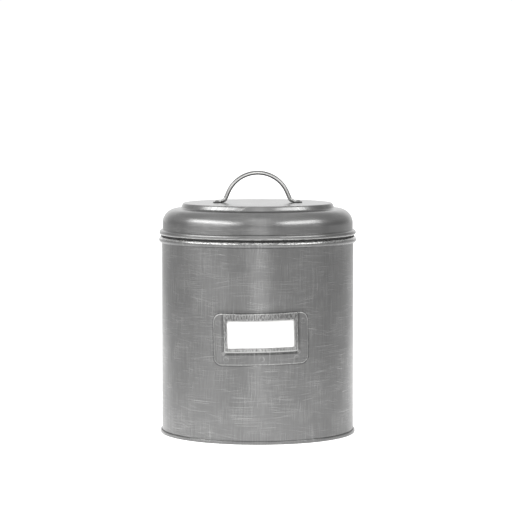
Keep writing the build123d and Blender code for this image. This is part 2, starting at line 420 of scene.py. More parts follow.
class Tree:
    """The node tree of a material or of the world."""

    def __init__(self, owner):
        owner.use_nodes = True
        self.nodes = owner.node_tree.nodes
        self.links = owner.node_tree.links
        self.nodes.clear()

    def node(self, kind, settings=None, inputs=None, output=0):
        """Adds a node: its settings first, then the values or links of its sockets."""
        node = self.nodes.new(kind)
        for key, value in (settings or {}).items():
            setattr(node, key, value)
        for key, value in (inputs or {}).items():
            if isinstance(value, Value):
                self.links.new(value.socket, node.inputs[key])
            else:
                node.inputs[key].default_value = value
        return Value(self, node.outputs[output]) if node.outputs else None

    def vector(self, x, y, z):
        return self.node("ShaderNodeCombineXYZ", None, {0: x, 1: y, 2: z})

    def parts(self, vector):
        return [self.node("ShaderNodeSeparateXYZ", None, {0: vector}, axis) for axis in range(3)]

    def place(self):
        """Where a point of the piece is, across, back and up from the bin's middle on the floor."""
        return self.parts(self.node("ShaderNodeTexCoord", output="Object"))

    def noise(self, vector, detail=0.0, roughness=0.5):
        inputs = {"Vector": vector, "Scale": 1.0, "Detail": detail, "Roughness": roughness}
        return self.node("ShaderNodeTexNoise", None, inputs)

    def pattern(self, across, up, size, seed, detail=0.0):
        """Noise whose blotches have about this size, (across, up), in metres."""
        return self.noise(self.vector(across / size[0], up / size[1], seed), detail)

    def blend(self, share, first, second):
        """A colour between two colours."""
        first, second = (c if isinstance(c, Value) else (*c, 1.0) for c in (first, second))
        return self.node("ShaderNodeMix", {"data_type": "RGBA"}, {0: share, 6: first, 7: second}, 2)

    def bump(self, height, distance, normal=None):
        """A normal from a height of 0 to 1 that stands for this distance in metres."""
        inputs = {"Height": height, "Distance": distance}
        if normal:
            inputs["Normal"] = normal
        return self.node("ShaderNodeBump", None, inputs)

    def surface(self, **inputs):
        """The shader of a finish, with underscores for the spaces in its sockets' names."""
        inputs = {key.replace("_", " "): value for key, value in inputs.items()}
        shader = self.node("ShaderNodeBsdfPrincipled", None, inputs)
        self.node("ShaderNodeOutputMaterial", None, {"Surface": shader})


def far(x, y):
    """How far a point is from the place where both values are 0."""
    return (x * x + y * y).math("SQRT")


def around_wall(x, y):
    """How far round the wall a point is from the middle of the front."""
    return x.math("ARCTAN2", -y) * WALL


def finish_of(paint):
    """The finish named after a function, which paints its tree the first time it is asked for."""
    finish = bpy.data.materials.get(paint.__name__)
    if finish is None:
        finish = bpy.data.materials.new(paint.__name__)
        paint(Tree(finish))
    return finish


# ---------------------------------------------------------------- finishes

# How the brush was drawn: angle in degrees, length and width of a mark in millimetres, level of the
# noise at which a mark starts to show, and how strongly it shows.
BRUSHING = (
    (0, 40, 0.70, 0.62, 0.60),
    (2, 18, 0.45, 0.57, 0.28),
    (-9, 24, 0.60, 0.66, 0.55),
    (7, 36, 0.80, 0.67, 0.50),
    (90, 55, 0.60, 0.52, 0.18),
    (88, 30, 0.70, 0.63, 0.35),
    (89, 16, 0.45, 0.58, 0.22),
    (78, 26, 0.60, 0.68, 0.35),
)

# Sizes of the paint's patterns, across and up
SWAY = (50 * MM, 50 * MM)  # over which the marks sway to and fro
PATCH = (30 * MM, 24 * MM)  # the patches that the marks of one way come in
CLOUD = (40 * MM, 55 * MM)
GRAIN = (0.6 * MM, 0.6 * MM)
WEAVE = (1.0 * MM, 25 * MM)  # fine upright lines
WAVE = (30 * MM, 90 * MM)  # unevenness of the sheet itself

SWAY_DEPTH = 2.5 * MM
WAVE_DEPTH = 0.6 * MM
MARK_DEPTH = 0.02 * MM
RUBBER_DEPTH = 0.03 * MM
FINE_DEPTH = 0.01 * MM  # relief of the wire, the tinned ring and the card
WALL_SEED, LID_SEED, LABEL_SEED = 4.0, 11.0, 23.0
WELD_RING = 2.4 * MM  # radius of the worn ring round a weld

# Where wear and shade fade in and out: first where there is none of it, then where it is full
CROWN = (-3.0 * MM, -1.6 * MM)  # up from the top of the body's rim
FOOT = (0.6 * MM, 0.2 * MM)  # up from the floor
FLOOR_PAINT = (-0.4 * MM, 0.4 * MM)  # up from the base sheet, below which the inside is painted
LID_EDGE = (-0.9 * MM, -1.6 * MM)  # up from the middle of the lid's bead
STRAIGHT_STROKES = (82 * MM, 79 * MM)  # radius on the lid
LABEL_SHADE = (1.6 * MM, 0.4 * MM)  # out from the label frame's edge, of the painted shadow on the wall
# of the painted shade above the label frame, out from its edge
ABOVE_SHADE = (6.0 * MM, 0.5 * MM)
ABOVE_LABEL = (-1.0 * MM, 2.0 * MM)
EDGE_WEAR = (-1.2 * MM, -0.5 * MM)  # out from an outer edge
LINE_WEAR = (0.9 * MM, 0.2 * MM)  # to both sides of a worn line
RIDGE_WEAR = (1.0 * MM, 0.3 * MM)
EAR_WEAR = (2.6 * MM, 0.8 * MM)
CREASE_OUT = 0.7 * MM  # raised middle's edge to the darkest line of painted shade round its foot
CREASE_SHADE = (1.5 * MM, 0.6 * MM)
LOWER_CREASE = (2.0 * MM, 0.0)  # up from the lower edge of the raised middle
CARD_SHADOW_TOP = (-3.6 * MM, 0.0)  # out from the window's edge, of the painted shadow on the card
CARD_SHADOW_SIDE = (-3.2 * MM, 0.0)
ROUND_WIRE = (3.0 * MM, 6.0 * MM)  # up from the flat of the handle's feet


def brush_marks(tree, across, up, seed, upright):
    """Marks of a nearly dry brush, drawn level, upright and aslant, each way in its own patches."""
    marks = 0.0
    sway = tree.pattern(across, up, SWAY, seed) * SWAY_DEPTH
    for number, (angle, long, wide, level, strength) in enumerate(BRUSHING):
        lean = math.radians(angle)
        along = across * math.cos(lean) + up * math.sin(lean)
        over = up * math.cos(lean) - across * math.sin(lean) + sway
        layer = seed + 5.3 * number
        patch = tree.pattern(across, up, PATCH, layer, detail=1.0).step(0.46, 0.60)
        streak = tree.pattern(along, over, (long * MM, wide * MM), layer, detail=1.0)
        share = strength if abs(angle) < 45 else strength * upright
        marks = marks + streak.step(level - 0.06, level + 0.12) * patch * share
    return marks


def brushed_paint(tree, across, up, seed, bare, worn=0.0, shade_and_dark_paint=0.0, upright=1.0, relief=1.0):
    """Grey paint, cross-brushed and rubbed until it looks like old pewter.

    bare, worn and the darkening after them say, from 0 to 1, where it is rubbed through, rubbed light,
    and darkened by painted shade and darker paint; upright and relief scale its upright marks and its
    unevenness.
    """
    colours = bpy.context.scene.bin_colours
    cloud = tree.pattern(across, up, CLOUD, seed + 40, detail=2.0).step(0.35, 0.65)
    grain = tree.pattern(across, up, GRAIN, seed + 50, detail=2.0)
    weave = tree.pattern(across, up, WEAVE, seed + 70, detail=1.0)
    wave = tree.pattern(across, up, WAVE, seed + 60, detail=1.0)
    marks = brush_marks(tree, across, up, seed, upright)
    light = marks + (grain - 0.5) * 0.10 + (weave - 0.45) * 0.35 * upright + worn
    light = light.math("MAXIMUM", 0.0).math("MINIMUM", 1.0)
    paint = tree.blend(cloud * 0.35, colours.pewter, [c * 0.72 for c in colours.pewter])
    # Painted shade, and darker paint in places, darken the paint here
    paint = tree.blend(shade_and_dark_paint, paint, [c * 0.3 for c in colours.pewter])
    paint = tree.blend(light, paint, colours.rubbed)
    paint = tree.blend(bare.math("MINIMUM", 1.0), paint, colours.steel)
    tree.surface(
        Base_Color=paint,
        Metallic=1.0,
        Roughness=0.30 - light * 0.08,
        Normal=tree.bump(light * relief, MARK_DEPTH, tree.bump(wave * relief, WAVE_DEPTH)),
    )


def box_distance(across, up, half_width, half_height, corner):
    """How far outside a rounded rectangle a point is, and negative inside it."""
    right = abs(across) - (half_width - corner)
    above = abs(up) - (half_height - corner)
    outside = far(right.math("MAXIMUM", 0.0), above.math("MAXIMUM", 0.0))
    inside = right.math("MAXIMUM", above).math("MINIMUM", 0.0)
    return outside + inside - corner


def label_lines():
    """Where the parts of the label frame end, across and up from the frame's middle."""
    label = bpy.context.scene.bin_label
    at = SimpleNamespace(high=label.height / 2)
    at.half_raised = label.width / 2 - label.flange_side
    at.low = label.flange_below - at.high
    at.half_window = at.half_raised - label.window_side
    at.window_low = at.low + label.window_below
    at.window_high = at.high - label.window_above
    weld_low = label.flange_below / 2 - at.high
    weld_side = label.width / 2 - label.flange_side / 2
    at.welds = [(side * WELD_SPREAD, weld_low) for side in (-1, 0, 1)]
    at.welds += [(side * weld_side, WELD_HEIGHT - at.high) for side in (-1, 1)]
    return at


def label_place(tree):
    """Where a point is across and up from the label frame's middle, and how far outside its outline."""
    label = bpy.context.scene.bin_label
    x, y, z = tree.place()
    level = around_wall(x, y)
    rise = z - label.middle
    across = level * math.cos(label.tilt) + rise * math.sin(label.tilt)
    up = rise * math.cos(label.tilt) - level * math.sin(label.tilt)
    return across, up, box_distance(across, up, label.width / 2, label.height / 2, label.corner)


def unpainted(tree, wall, up):
    """1 on the side of the sheet that faces the space inside a wall, with its end above or below it."""
    x, y, z = tree.place()
    facing = tree.parts(tree.node("ShaderNodeTexCoord", output="Normal"))
    inward = (x * facing[0] + y * facing[1]).step(-0.02, -0.04)
    level = (facing[2] * up).step(0.3, 0.6)
    return inward.math("MAXIMUM", level) * far(x, y).step(wall + 0.3 * MM, wall)


def wall_paint(tree):
    """The brushed paint of the body, worn at its rim, with a painted shadow along the label frame's edge
    and painted shade above it.
    """
    x, y, z = tree.place()
    around = around_wall(x, y)
    across, up, outline = label_place(tree)
    # Painted shade: a soft darkening above the label frame, and a painted shadow along its edges
    shade_above_label = outline.step(*ABOVE_SHADE) * (up - label_lines().high).step(*ABOVE_LABEL) * 0.4
    shade_and_dark_paint = shade_above_label.math("MAXIMUM", outline.step(*LABEL_SHADE) * 0.7)
    crown = (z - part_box("body_wall")[1].z).step(*CROWN)
    foot = z.step(*FOOT)
    rubs = tree.pattern(around, z, (3.0 * MM, 1.2 * MM), seed=71.0, detail=2.0).step(0.40, 0.60)
    worn = (crown * 0.8 + foot * 0.3) * rubs
    above_base = (z - bpy.context.scene.bin_sizes.panel).step(*FLOOR_PAINT)
    inside = unpainted(tree, bin_lines().wall, 1) * above_base
    bare = inside.math("MAXIMUM", crown * rubs * 0.35)
    brushed_paint(tree, around, z, WALL_SEED, bare, worn, shade_and_dark_paint)


def lid_paint(tree):
    """The brushed paint of the lid: straight across its flat top, and around its shoulder and wall."""
    x, y, z = tree.place()
    radius = far(x, y)
    top = radius.step(*STRAIGHT_STROKES)
    around = around_wall(x, y)
    across = around + (x - around) * top
    down = z - radius
    up = down + (y - down) * top
    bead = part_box("lid_seal")[1].z + bpy.context.scene.bin_lid.bead
    edge = (z - bead).step(*LID_EDGE)
    rubs = tree.pattern(around, z, (6.0 * MM, 1.2 * MM), seed=77.0, detail=2.0).step(0.25, 0.60)
    bare = unpainted(tree, lid_lines().wall, -1).math("MAXIMUM", edge * (rubs * 0.6 + 0.2))
    brushed_paint(tree, across, up, LID_SEED, bare, upright=0.3, relief=1 - top * 0.85)


def label_paint(tree):
    """The brushed paint of the label frame, rubbed bright along its edges and round its welds, with
    painted shade in the crease round the foot of its raised middle.
    """
    label = bpy.context.scene.bin_label
    at = label_lines()
    across, up, outline = label_place(tree)
    out = abs(across)
    tall = label.height  # the raised middle is open at its top, so its box reaches past the frame
    raised = box_distance(across, up - (at.low + tall), at.half_raised, tall, RAISED_CORNER)
    window_middle = (at.window_low + at.window_high) / 2
    half_window_height = (at.window_high - at.window_low) / 2
    window = box_distance(across, up - window_middle, at.half_window, half_window_height, WINDOW_CORNER)
    patchy = tree.pattern(across, up, (3.0 * MM, 3.0 * MM), seed=31.0, detail=2.0).step(0.30, 0.62)
    hatch = tree.pattern(across, up, (0.9 * MM, 4.0 * MM), seed=35.0, detail=2.0).step(0.42, 0.60)

    # Where each edge is: 1 on it and 0 away from it
    rim = outline.step(*EDGE_WEAR)
    ends = out.step(0.36 * label.width, 0.46 * label.width)
    corners = up.step(0.20 * label.height, 0.45 * label.height) * ends
    top_edge = (up - at.high).step(*EDGE_WEAR)
    ridge = abs(raised + (label.slope - SLOPE_FOOT)).step(*RIDGE_WEAR)
    lip = window.step(*LINE_WEAR)
    # Painted shade along the foot of the raised middle's slope, stronger along its lower edge
    crease = abs(raised - CREASE_OUT).step(*CREASE_SHADE)
    crease = crease * ((up - at.low).step(*LOWER_CREASE) * 0.5 + 0.45)
    ears = far(out - at.half_raised, up - at.low).step(*EAR_WEAR)
    border = 1 - raised.step(*EDGE_WEAR)
    lower = up.step(0.0, at.window_low)
    rings = 0.0
    for weld_across, weld_up in at.welds:
        away = far(across - weld_across, up - weld_up)
        rings = rings + abs(away - WELD_RING).step(*LINE_WEAR)

    worn = (rim * 0.6 + top_edge * 0.4 + ridge * 0.7 + lip * 0.6 + ears * 0.7) * (patchy * 0.6 + 0.4)
    worn = worn + border * (hatch * 0.6 + lower * 0.35 - 0.1) + rings * patchy * 0.3
    # Painted shade in the crease, and darker paint between the hatch marks on the raised border
    shade_and_dark_paint = (crease * 0.95 + border * (0.4 - hatch * 0.4)).math("MINIMUM", 1.0)
    bare = (rim * corners * 0.8 + rim * 0.1 + top_edge * border * 0.1) * (patchy * 0.7 + 0.3)
    brushed_paint(tree, across, up, LABEL_SEED, bare, worn, shade_and_dark_paint)


def bare_steel(tree):
    """Drawn wire with fine marks along it, bright on its front and back, with painted shade on its inner
    and outer sides and along the edges of its flat feet.
    """
    sizes = bpy.context.scene.bin_handle
    x, y, z = tree.place()
    wire = sizes.wire / 2
    low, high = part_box("handle")
    rise = z - (high.z - wire - sizes.bow)
    out = abs(x)
    away = far(out, rise)
    around = out.math("ARCTAN2", rise)
    on_leg = around.math("GREATER_THAN", TURN / 4 - sizes.flare)
    bow_side = away - sizes.bow
    leg_side = out * math.cos(sizes.flare) + rise * math.sin(sizes.flare) - sizes.bow
    side = abs(bow_side + (leg_side - bow_side) * on_leg)
    on_wire = (z - low.z).step(*ROUND_WIRE)
    # Painted shade: the wire's inner and outer sides and the edges of its flat feet are darkened
    side_shade = side.step(0.20 * wire, 0.52 * wire) * on_wire
    foot_edge_shade = abs(y).step(0.55 * wire, 1.1 * wire) * (1 - on_wire)
    fine = 0.5 * MM
    marks = tree.noise(tree.vector(around / 0.5, side / fine, y / fine), detail=2.0)
    steel = bpy.context.scene.bin_colours.steel
    shade = side_shade * 0.9 + foot_edge_shade * 0.6 + marks.step(0.40, 0.65) * 0.25
    tree.surface(
        Base_Color=tree.blend(shade.math("MINIMUM", 1.0), steel, [c * 0.15 for c in steel]),
        Metallic=1.0,
        Roughness=0.22 + marks * 0.12,
        Normal=tree.bump(marks, FINE_DEPTH),
    )


def ring_steel(tree):
    """Tinned sheet with the fine level lines of rolling."""
    x, y, z = tree.place()
    around = around_wall(x, y)
    lines = tree.pattern(around, z, (30 * MM, 0.5 * MM), seed=3.0, detail=2.0)
    bloom = tree.pattern(around, z, (12 * MM, 9 * MM), seed=8.0, detail=3.0)
    steel = bpy.context.scene.bin_colours.steel
    tree.surface(
        Base_Color=tree.blend(bloom.step(0.35, 0.7) * 0.5, steel, [c * 0.75 for c in steel]),
        Metallic=1.0,
        Roughness=0.26 + lines * 0.14,
        Normal=tree.bump(lines, FINE_DEPTH),
    )


def seal_rubber(tree):
    """Matt black rubber with a fine moulded grain."""
    x, y, z = tree.place()
    fine = 0.7 * MM
    grain = tree.noise(tree.vector(x / fine, y / fine, z / fine), detail=2.0)
    rubber = bpy.context.scene.bin_colours.rubber
    tree.surface(
        Base_Color=tree.blend(grain.step(0.4, 0.8), rubber, [c * 2.5 for c in rubber]),
        Roughness=0.62 + grain * 0.2,
        Normal=tree.bump(grain, RUBBER_DEPTH),
    )


def white_card(tree):
    """Uncoated white card with a faint fibre, darkened by painted shadow along the window's top and
    right-hand edges.
    """
    at = label_lines()
    x, y, z = tree.place()
    across, up = label_place(tree)[:2]
    # Painted shadow: the card darkens towards the window's top and right-hand edges, where the frame's
    # raised edge shades it
    frame_shadow = (up - at.window_high).step(*CARD_SHADOW_TOP)
    frame_shadow = frame_shadow.math("MAXIMUM", (across - at.half_window).step(*CARD_SHADOW_SIDE))
    coarse, fine = 1.6 * MM, 0.9 * MM
    fibre = tree.noise(tree.vector(x / coarse, y / coarse, z / fine), detail=3.0)
    card = bpy.context.scene.bin_colours.card
    tree.surface(
        Base_Color=tree.blend(fibre * 0.1 + frame_shadow * 0.9, card, [c * 0.6 for c in card]),
        Roughness=0.75 + fibre * 0.15,
        Normal=tree.bump(fibre, FINE_DEPTH),
    )


# ---------------------------------------------------------------- lines shared by the pieces


def bin_lines():
    """Radii and heights of the body and its base, to the middle of the sheet."""
    sizes = bpy.context.scene.bin_sizes
    at = SimpleNamespace(half=sizes.sheet / 2, layer=sizes.sheet + sizes.fold_gap)
    at.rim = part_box("body_wall")[1].z
    at.wall = reach("body_wall") - sizes.bead
    at.chuck = at.wall - at.layer
    at.cover_hook = at.wall + at.layer
    at.body_hook = at.cover_hook + at.layer
    at.seam = at.body_hook + at.layer
    at.body_turn = at.layer + at.half + at.layer
    at.seam_turn = sizes.seam - at.half - at.layer
    at.bead_path = sizes.bead - at.half
    at.corner_height = at.rim - at.half - sizes.bead_corner
    drop = math.sqrt(at.bead_path**2 - 2 * at.bead_path * sizes.bead_corner)
    at.corner_angle = math.degrees(math.atan2(drop, sizes.bead_corner))
    at.bead_height = at.corner_height - drop
    at.side_seam_low = sizes.seam + SEAM_MARGIN
    at.side_seam_high = at.bead_height - sizes.bead - SEAM_MARGIN
    return at


def lid_lines():
    """Radii and heights of the lid, its ring and its seal."""
    sizes = bpy.context.scene.bin_lid
    body = bin_lines()
    at = SimpleNamespace(half=body.half)
    at.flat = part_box("lid_shell")[1].z - body.half
    at.wall = reach("lid_shell") - sizes.bead - sizes.bead_offset
    at.crest = body.wall - sizes.crest_inset
    at.foot_height = at.flat - sizes.step
    at.foot = at.crest + sizes.step / math.tan(sizes.step_angle)
    at.shoulder_corner = at.foot_height - (at.wall - at.foot) * math.tan(sizes.fall)
    at.seal_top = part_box("lid_seal")[1].z
    at.bead = at.wall + sizes.bead_offset
    at.bead_path = sizes.bead - body.half
    at.bead_height = at.seal_top + bpy.context.scene.bin_sizes.fold_gap + sizes.bead
    at.ring = reach("lid_inner_ring") - body.half
    return at


def rivet_reach():
    """How far out each rivet stands from the middle of the lid."""
    low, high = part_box("handle_rivet_right")
    return (low.x + high.x) / 2


# ---------------------------------------------------------------- body


class BIN_OT_body_wall(Operator):
    """Adds the body: a hooked foot, a straight wall, a rolled rim and the seam up its back"""

    bl_idname = "bin.body_wall"
    bl_label = "Body wall"

    def execute(self, context):
        sizes = context.scene.bin_sizes
        at = bin_lines()
        section = [(at.body_hook, at.body_turn + HOOK_HEIGHT)]
        section += arc((at.cover_hook, at.body_turn), at.layer, 0, -180, 10)
        section += [(at.wall, at.side_seam_low), (at.wall, at.side_seam_high)]
        corner_middle = (at.wall + sizes.bead_corner, at.corner_height)
        section += arc(corner_middle, sizes.bead_corner, 180, at.corner_angle, 8)
        section += arc((at.wall, at.bead_height), at.bead_path, at.corner_angle, BEAD_END, 20)
        piece = turned("bin_wall", section, sizes.sheet)
        mode("EDIT")
        facet = TURN * at.wall / sizes.rings

        def on_seam(place, normal):
            behind = normal.y > 0.9 and abs(place.x) < facet
            return behind and at.side_seam_low < place.z < at.side_seam_high

        pick("FACE", on_seam)
        fold = {"value": sizes.side_seam}
        bpy.ops.mesh.extrude_region_shrink_fatten(TRANSFORM_OT_shrink_fatten=fold)
        proud = at.wall + at.half + sizes.side_seam * 0.8
        pick("EDGE", lambda place, along: place.y > proud and abs(place.x) > 0.8 * facet)
        bpy.ops.mesh.bevel(offset=SEAM_EDGE, segments=3)
        mode("OBJECT")
        finish_piece(piece, "bin", wall_paint, "painted_body", "body_wall")
        return {"FINISHED"}


class BIN_OT_base_plate(Operator):
    """Adds the base: a pressed panel and the double seam that folds up over the body's hook"""

    bl_idname = "bin.base_plate"
    bl_label = "Base plate"

    def execute(self, context):
        sizes = context.scene.bin_sizes
        at = bin_lines()
        step = at.wall - sizes.panel_inset
        high = sizes.panel + sizes.panel_rise
        section = bent_line([
            (0, high),
            (step - PANEL_RUN, high, PANEL_BEND),
            (step, sizes.panel, PANEL_BEND),
            (at.chuck, sizes.panel, PANEL_BEND),
            (at.chuck, at.half, sizes.seam_corner),
            (at.seam, at.half, sizes.seam_corner),
            (at.seam, at.seam_turn),
        ])
        section += arc((at.body_hook, at.seam_turn), at.layer, 0, 180, 10)
        section += [(at.cover_hook, at.seam_turn - HOOK_HEIGHT)]
        piece = turned("bin_base", section, sizes.sheet)
        finish_piece(piece, "bin", wall_paint, "painted_body", "base_plate")
        return {"FINISHED"}


# ---------------------------------------------------------------- lid


class BIN_OT_lid_shell(Operator):
    """Adds the lid's shell: flat top, step, rounded shoulder, wall and rolled rim"""

    bl_idname = "bin.lid_shell"
    bl_label = "Lid shell"

    def execute(self, context):
        sizes = context.scene.bin_lid
        sheet = context.scene.bin_sizes.sheet
        at = lid_lines()
        crease_height = at.bead_height + at.bead_path
        section = bent_line([
            (0, at.flat),
            (at.crest, at.flat, sizes.crest_bend),
            (at.foot, at.foot_height, sizes.foot_bend),
            (at.wall, at.shoulder_corner, sizes.shoulder),
            (at.wall, crease_height, sizes.crease),
            (at.bead, crease_height),
        ])
        section += arc((at.bead, at.bead_height), at.bead_path, 90, -90, 20)
        section += [(at.ring + sheet, at.bead_height - at.bead_path)]
        piece = turned("bin_lid", section, sheet)
        hole = HOLE_SHARE * context.scene.bin_handle.shank
        for side in (-1, 1):
            drill(piece, (side * rivet_reach(), 0, at.flat), hole, HOLE_DEPTH)
        finish_piece(piece, "lid", lid_paint, "painted_lid", "lid_shell")
        return {"FINISHED"}


class BIN_OT_lid_ring(Operator):
    """Adds the inner ring that drops into the mouth of the bin"""

    bl_idname = "bin.lid_ring"
    bl_label = "Lid ring"

    def execute(self, context):
        sizes = context.scene.bin_lid
        at = lid_lines()
        low = bin_lines().rim - sizes.ring_drop
        section = bent_line([
            (at.ring - sizes.ring_taper, low),
            (at.ring, low + sizes.ring_taper_height, TAPER_BEND),
            (at.ring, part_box("lid_inner_ring")[1].z),
        ])
        piece = turned("bin_lid_ring", section, context.scene.bin_sizes.sheet)
        finish_piece(piece, "lid", ring_steel, "ring_steel", "lid_inner_ring")
        return {"FINISHED"}


class BIN_OT_lid_seal(Operator):
    """Adds the seal: a sleeve round the inner ring with a rounded flange under the lid's bead"""

    bl_idname = "bin.lid_seal"
    bl_label = "Lid seal"

    def execute(self, context):
        sizes = context.scene.bin_lid
        at = lid_lines()
        inner = at.ring + at.half + context.scene.bin_sizes.fold_gap
        outer = reach("lid_seal")
        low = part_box("lid_seal")[0].z
        bottom = at.seal_top - sizes.seal_flange
        soft = sizes.seal_flange / 3
        section = bent_line([
            (inner, low),
            (inner + sizes.sleeve, low, SEAL_EDGE),
            (inner + sizes.sleeve, bottom, SEAL_EDGE),
            (outer, bottom, soft),
            (outer, at.seal_top, soft),
            (inner, at.seal_top, SEAL_EDGE),
            (inner, low),
        ])
        piece = turned("bin_lid_seal", section)
        finish_piece(piece, "lid", seal_rubber, "seal_rubber", "lid_seal")
        return {"FINISHED"}


# ---------------------------------------------------------------- label


def upright_grid(name, width, height, cell):
    """A grid in the plane y = 0 that faces the front, larger than asked by a cell all round."""
    deselect()
    bpy.ops.mesh.primitive_grid_add(
        x_subdivisions=round(width / cell) + 2, y_subdivisions=round(height / cell) + 2,
        size=1, rotation=(TURN / 4, 0, 0),
    )
    piece = bpy.context.object
    piece.name = piece.data.name = name
    piece.scale = (width + 2 * cell, height + 2 * cell, 1)
    settle()
    return piece


def press(shift, spread):
    """Moves what is selected along y, and what is round it less and less out to this distance."""
    bpy.ops.transform.translate(
        value=(0, shift, 0), use_proportional_edit=True,
        proportional_edit_falloff="SMOOTH", proportional_size=spread,
    )


def rounded_block(width, low, high, corner):
    """A block through the plane y = 0 whose outline, seen from the front, is a rounded rectangle."""
    deselect()
    bpy.ops.mesh.primitive_cube_add(size=1, location=(0, 0, (low + high) / 2))
    block = bpy.context.object
    block.scale = (width, BLOCK_DEPTH, high - low)
    settle()
    mode("EDIT")
    pick("EDGE", lambda place, along: abs(along.y) > BLOCK_DEPTH / 2)
    bpy.ops.mesh.bevel(offset=corner, segments=12)
    mode("OBJECT")
    return block


def wrap(piece, radius):
    """Leans a flat piece as the label leans, bends it to this radius and sets it on the wall."""
    label = bpy.context.scene.bin_label
    select(piece)
    piece.rotation_euler = (0, -label.tilt, 0)
    settle()
    across = [v.co.x for v in piece.data.vertices]
    angle = (max(across) - min(across)) / radius
    modify(piece, "SIMPLE_DEFORM", deform_method="BEND", deform_axis="Z", angle=angle)
    piece.location = (0, -radius, label.middle)
    settle()


def add_slope_loops(label, at):
    """Cuts the grid along both edges of the slope round the raised middle, and between them."""
    for i in range(SLOPE_LOOPS + 1):
        inset = label.slope * i / SLOPE_LOOPS - SLOPE_FOOT
        for place, normal in (
            ((at.half_raised - inset, 0, 0), (1, 0, 0)),
            ((inset - at.half_raised, 0, 0), (1, 0, 0)),
            ((0, 0, at.low + inset), (0, 0, 1)),
        ):
            select_mesh()
            bpy.ops.mesh.bisect(plane_co=place, plane_no=normal)


def raise_middle(label, at):
    """Presses the frame's middle out, with round corners at its foot and a slope round it."""
    top_inset = label.slope - SLOPE_FOOT
    corner = RAISED_CORNER - top_inset

    def on_top(place, normal):
        right = abs(place.x) - (at.half_raised - top_inset - corner)
        below = (at.low + top_inset + corner) - place.z
        if right > 0 and below > 0:
            return math.hypot(right, below) < corner + SAME_PLACE
        return max(right, below) < corner + SAME_PLACE

    pick("VERT", on_top)
    press(-label.rise, label.slope)


class BIN_OT_label_frame(Operator):
    """Adds the label frame: a flange on the wall, a raised middle with a window, and its weld marks"""

    bl_idname = "bin.label_frame"
    bl_label = "Label frame"

    def execute(self, context):
        label = context.scene.bin_label
        body = bin_lines()
        at = label_lines()
        piece = upright_grid("bin_label_frame", label.width, label.height, FRAME_CELL)
        mode("EDIT")
        add_slope_loops(label, at)
        raise_middle(label, at)
        for across, up in at.welds:
            pick("VERT", lambda place, normal: math.hypot(place.x - across, place.z - up) < WELD_MIDDLE)
            press(WELD_DEPTH, WELD_WIDTH / 2)
        mode("OBJECT")
        modify(piece, "SOLIDIFY", thickness=label.sheet, offset=0, use_even_offset=True)
        cut(piece, rounded_block(label.width, -at.high, at.high, label.corner), "INTERSECT")
        window = rounded_block(2 * at.half_window, at.window_low, at.window_high, WINDOW_CORNER)
        cut(piece, window, "DIFFERENCE")
        modify(
            piece, "BEVEL", width=FRAME_EDGE, segments=2, limit_method="ANGLE",
            angle_limit=math.radians(60), use_clamp_overlap=False,
        )
        wrap(piece, body.wall + body.half + context.scene.bin_sizes.fold_gap + label.sheet / 2)
        finish_piece(piece, "bin", label_paint, "painted_body", "label_frame")
        return {"FINISHED"}


class BIN_OT_label_card(Operator):
    """Adds the white card that stands in the frame's pocket"""

    bl_idname = "bin.label_card"
    bl_label = "Label card"

    def execute(self, context):
        label = context.scene.bin_label
        body = bin_lines()
        at = label_lines()
        low = at.low + label.sheet + CARD_GAP
        width = 2 * (at.half_raised - label.sheet - CARD_SIDE)
        piece = upright_grid("bin_label_card", label.width, label.height, CARD_CELL)
        modify(piece, "SOLIDIFY", thickness=label.card, offset=1)
        block = rounded_block(width, low, at.high - CARD_TOP, RAISED_CORNER - label.sheet)
        cut(piece, block, "INTERSECT")
        wrap(piece, body.wall + body.half + CARD_BACK)
        finish_piece(piece, "card", white_card, "card", "label_card")
        return {"FINISHED"}


# ---------------------------------------------------------------- handle


def foot_stations(sizes, start):
    """Places along a foot from the end of its bend, each (across, half the width, half the thickness)."""
    wire = sizes.wire / 2
    half_width, half_thickness = sizes.foot_width / 2, sizes.foot / 2
    rivet = rivet_reach()
    flat = rivet - sizes.head / 2 - FOOT_MARGIN
    stations = []
    for i in range(FLATTEN_STEPS):
        share = (i + 1) / FLATTEN_STEPS
        ease = share * share * (3 - 2 * share)
        wide, thick = wire + (half_width - wire) * ease, wire + (half_thickness - wire) * ease
        stations.append((start + (flat - start) * share, wide, thick))
    for degrees in ROUND_END:
        angle = math.radians(degrees)
        place = rivet + half_width * math.sin(angle)
        stations.append((place, half_width * math.cos(angle), half_thickness))
    return stations


